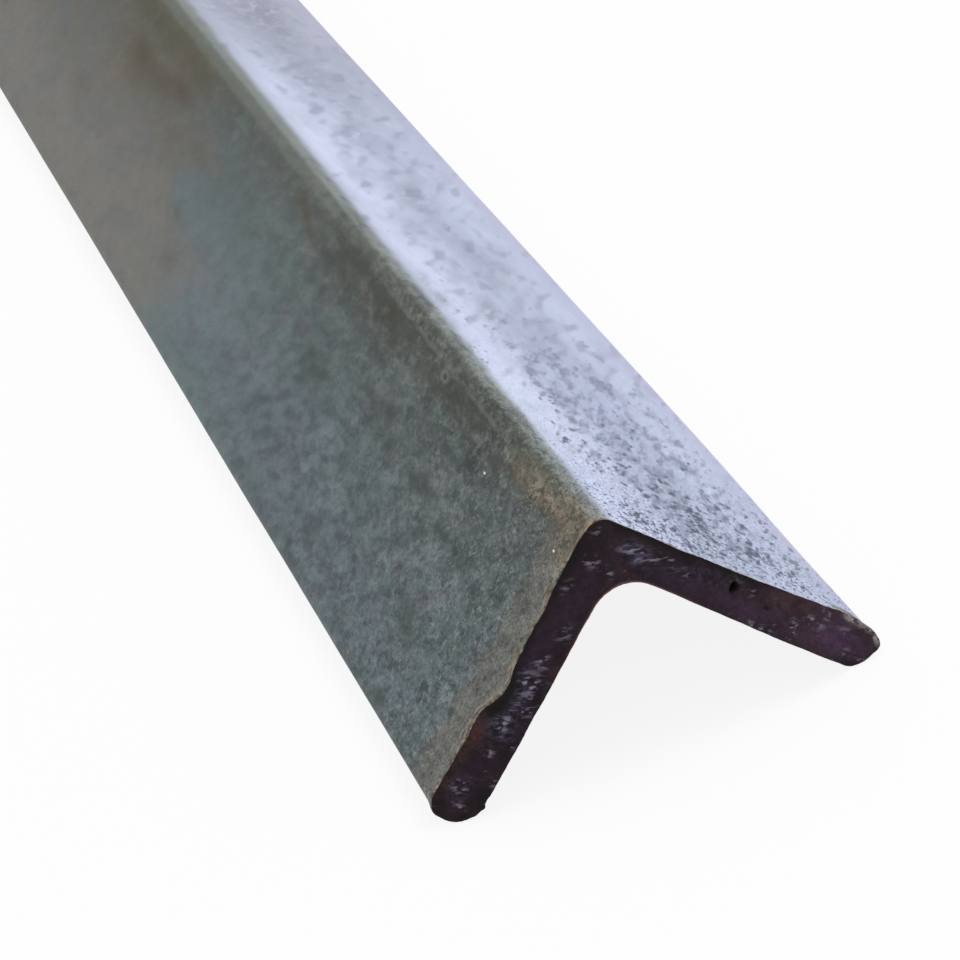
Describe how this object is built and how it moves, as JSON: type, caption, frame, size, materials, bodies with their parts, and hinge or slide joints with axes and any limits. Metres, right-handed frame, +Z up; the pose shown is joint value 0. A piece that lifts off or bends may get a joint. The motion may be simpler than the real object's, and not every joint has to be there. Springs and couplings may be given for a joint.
{
  "type": "metal angle section",
  "caption": "Equal-leg steel angle: a hot-rolled L-shaped bar with a rounded heel, root and toes, its near end cut by hand.",
  "frame": {"origin": "on the floor line of the two toes, under the heel, halfway along the bar", "axes": "+Z up through the heel, +Y along the bar from the hand-cut end to the sawn end, +X to the right leg's toe"},
  "size_m": [0.055, 1, 0.0299],
  "materials": {
    "steel": "hot-rolled mill scale, pitted, worn to rust brown at the heel and the cut"
  },
  "bodies": {
    "root": {"angle_bar": "steel"}
  },
  "joints": []
}
